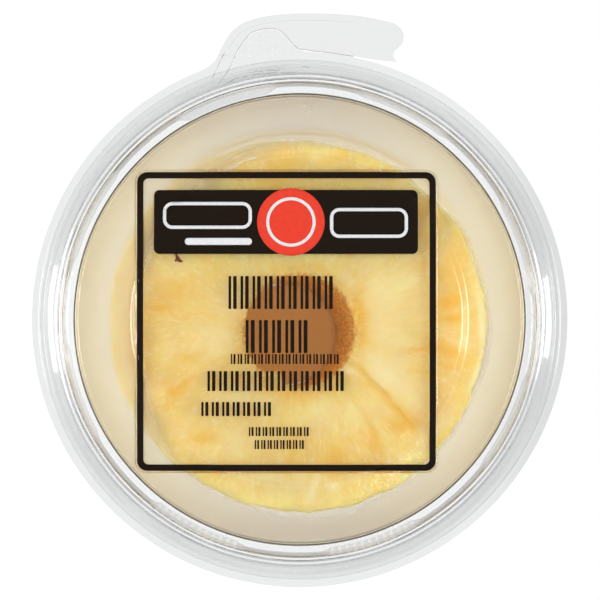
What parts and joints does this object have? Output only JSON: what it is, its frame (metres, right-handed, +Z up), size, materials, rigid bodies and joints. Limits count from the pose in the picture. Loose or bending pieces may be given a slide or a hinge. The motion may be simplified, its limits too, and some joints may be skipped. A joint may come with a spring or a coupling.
{
  "type": "packed cored pineapple",
  "caption": "Peeled, cored pineapple standing in a clear round tub with a pressed-in clear lid, a square film label and a tear strip with a pull tab.",
  "frame": {"origin": "middle of the tub's flat base, on the tub's axis", "axes": "+Z up along the tub's axis, +Y towards the tear strip"},
  "size_m": [0.136, 0.1459, 0.0778],
  "materials": {
    "clear_plastic": "smooth, formed clear plastic",
    "label_film": "clear film with dark print",
    "pineapple_flesh": "moist, fibrous cut flesh",
    "pineapple_juice": "wet"
  },
  "bodies": {
    "root": {"tub": "clear_plastic", "tear_strip": "clear_plastic", "lid": "clear_plastic", "label": "label_film", "pineapple": "pineapple_flesh", "juice": "pineapple_juice", "core_juice": "pineapple_juice"}
  },
  "joints": []
}
